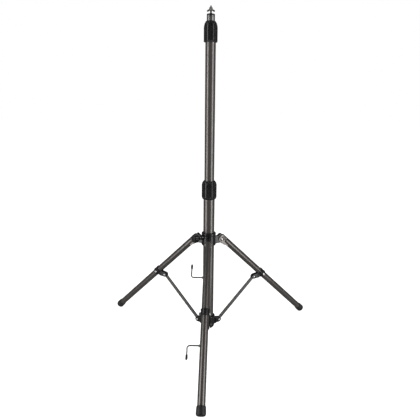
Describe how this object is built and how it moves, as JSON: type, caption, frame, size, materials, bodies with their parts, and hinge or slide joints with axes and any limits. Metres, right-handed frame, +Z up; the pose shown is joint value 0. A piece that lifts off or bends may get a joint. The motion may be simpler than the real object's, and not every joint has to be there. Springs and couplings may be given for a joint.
{
  "type": "tripod lighting stand",
  "caption": "Telescopic tripod stand for a lamp: round mast with twist locks, sliding clamp hub, folding braced legs with rubber feet, cord hooks and a wing nut on a top stud.",
  "frame": {"origin": "on the floor, at the middle of the open stand's footprint box", "axes": "+Z up along the mast, front leg towards -Y, cord hooks towards -X"},
  "size_m": [0.7138, 0.6216, 1.0264],
  "materials": {
    "tube_paint": "satin graphite paint with a fine metallic grain",
    "bare_tube": "drawn steel, softly polished",
    "black_plastic": "moulded black nylon, low sheen",
    "foot_rubber": "matte moulded rubber",
    "zinc_fastener": "bright zinc plating",
    "dark_fastener": "blackened rivet",
    "hook_wire": "smooth plated wire"
  },
  "bodies": {
    "mast": {"outer_tube": "tube_paint", "lower_collet": "black_plastic", "lower_hub": "black_plastic", "lower_hub_screw": "zinc_fastener", "lower_rivet_front_a": "zinc_fastener", "lower_rivet_front_b": "zinc_fastener", "lower_rivet_right_a": "zinc_fastener", "lower_rivet_right_b": "zinc_fastener", "lower_rivet_left_a": "zinc_fastener", "lower_rivet_left_b": "zinc_fastener"},
    "lower_lock": {"lower_twist_lock": "black_plastic"},
    "middle_mast": {"middle_tube": "tube_paint", "middle_glide": "black_plastic", "upper_collet": "black_plastic"},
    "upper_lock": {"upper_twist_lock": "black_plastic"},
    "inner_mast": {"inner_tube": "bare_tube", "inner_glide": "black_plastic", "top_plug": "black_plastic", "top_stud": "zinc_fastener", "plug_rivet": "dark_fastener"},
    "top_wing_nut": {"wing_nut": "zinc_fastener"},
    "leg_hub": {"upper_hub": "black_plastic", "leg_rivet_front": "zinc_fastener", "leg_rivet_right": "zinc_fastener", "leg_rivet_left": "zinc_fastener"},
    "hub_knob": {"clamp_knob": "black_plastic", "knob_screw": "zinc_fastener"},
    "front_leg": {"leg_tube_front": "tube_paint", "foot_cap_front": "foot_rubber", "leg_bracket_front": "black_plastic", "bracket_bolt_front": "zinc_fastener", "brace_rivet_front": "zinc_fastener", "cord_hook_upper": "hook_wire", "hook_tip_upper": "black_plastic", "cord_hook_lower": "hook_wire", "hook_tip_lower": "black_plastic"},
    "front_brace": {"brace_bar_front": "tube_paint"},
    "right_leg": {"leg_tube_right": "tube_paint", "foot_cap_right": "foot_rubber", "leg_bracket_right": "black_plastic", "bracket_bolt_right": "zinc_fastener", "brace_rivet_right": "zinc_fastener"},
    "right_brace": {"brace_bar_right": "tube_paint"},
    "left_leg": {"leg_tube_left": "tube_paint", "foot_cap_left": "foot_rubber", "leg_bracket_left": "black_plastic", "bracket_bolt_left": "zinc_fastener", "brace_rivet_left": "zinc_fastener"},
    "left_brace": {"brace_bar_left": "tube_paint"}
  },
  "joints": [
    {"name": "hub_slide", "type": "slide", "parent": "mast", "child": "leg_hub", "axis": [0, 0, 1], "range_m": [0, 0.1068]},
    {"name": "middle_slide", "type": "slide", "parent": "mast", "child": "middle_mast", "axis": [0, 0, 1], "range_m": [-0.395, 0]},
    {"name": "inner_slide", "type": "slide", "parent": "middle_mast", "child": "inner_mast", "axis": [0, 0, 1], "range_m": [0, 0.4]},
    {"name": "lower_lock_turn", "type": "hinge", "parent": "mast", "child": "lower_lock", "pos_m": [0, 0.0988, 0.5], "axis": [0, 0, 1], "range_deg": [0, 90]},
    {"name": "upper_lock_turn", "type": "hinge", "parent": "middle_mast", "child": "upper_lock", "pos_m": [0, 0.0988, 0.958], "axis": [0, 0, 1], "range_deg": [0, 90]},
    {"name": "wing_nut_turn", "type": "hinge", "parent": "inner_mast", "child": "top_wing_nut", "pos_m": [0, 0.0988, 1.0165], "axis": [0, 0, 1], "range_deg": [0, 180]},
    {"name": "knob_turn", "type": "hinge", "parent": "leg_hub", "child": "hub_knob", "pos_m": [-0.03897, 0.0763, 0.352], "axis": [-0.866, -0.5, 0], "range_deg": [0, 180]},
    {"name": "front_leg_fold", "type": "hinge", "parent": "leg_hub", "child": "front_leg", "pos_m": [0, 0.0548, 0.338], "axis": [1, 0, 0], "range_deg": [0, 36.32]},
    {"name": "front_brace_fold", "type": "hinge", "parent": "front_leg", "child": "front_brace", "pos_m": [0, -0.07809, 0.18246], "axis": [-1, 0, 0], "range_deg": [0, 76.88]},
    {"name": "right_leg_fold", "type": "hinge", "parent": "leg_hub", "child": "right_leg", "pos_m": [0.0381, 0.1208, 0.338], "axis": [-0.5, 0.866, 0], "range_deg": [0, 36.32]},
    {"name": "right_brace_fold", "type": "hinge", "parent": "right_leg", "child": "right_brace", "pos_m": [0.15319, 0.18724, 0.18246], "axis": [0.5, -0.866, 0], "range_deg": [0, 76.88]},
    {"name": "left_leg_fold", "type": "hinge", "parent": "leg_hub", "child": "left_leg", "pos_m": [-0.0381, 0.1208, 0.338], "axis": [-0.5, -0.866, 0], "range_deg": [0, 36.32]},
    {"name": "left_brace_fold", "type": "hinge", "parent": "left_leg", "child": "left_brace", "pos_m": [-0.15319, 0.18724, 0.18246], "axis": [0.5, 0.866, 0], "range_deg": [0, 76.88]}
  ],
  "couplings": [
    {"joint": "front_leg_fold", "follows": "hub_slide", "rad_per_m": 5.9347},
    {"joint": "front_brace_fold", "follows": "hub_slide", "rad_per_m": 12.562},
    {"joint": "right_leg_fold", "follows": "hub_slide", "rad_per_m": 5.9347},
    {"joint": "right_brace_fold", "follows": "hub_slide", "rad_per_m": 12.562},
    {"joint": "left_leg_fold", "follows": "hub_slide", "rad_per_m": 5.9347},
    {"joint": "left_brace_fold", "follows": "hub_slide", "rad_per_m": 12.562}
  ]
}
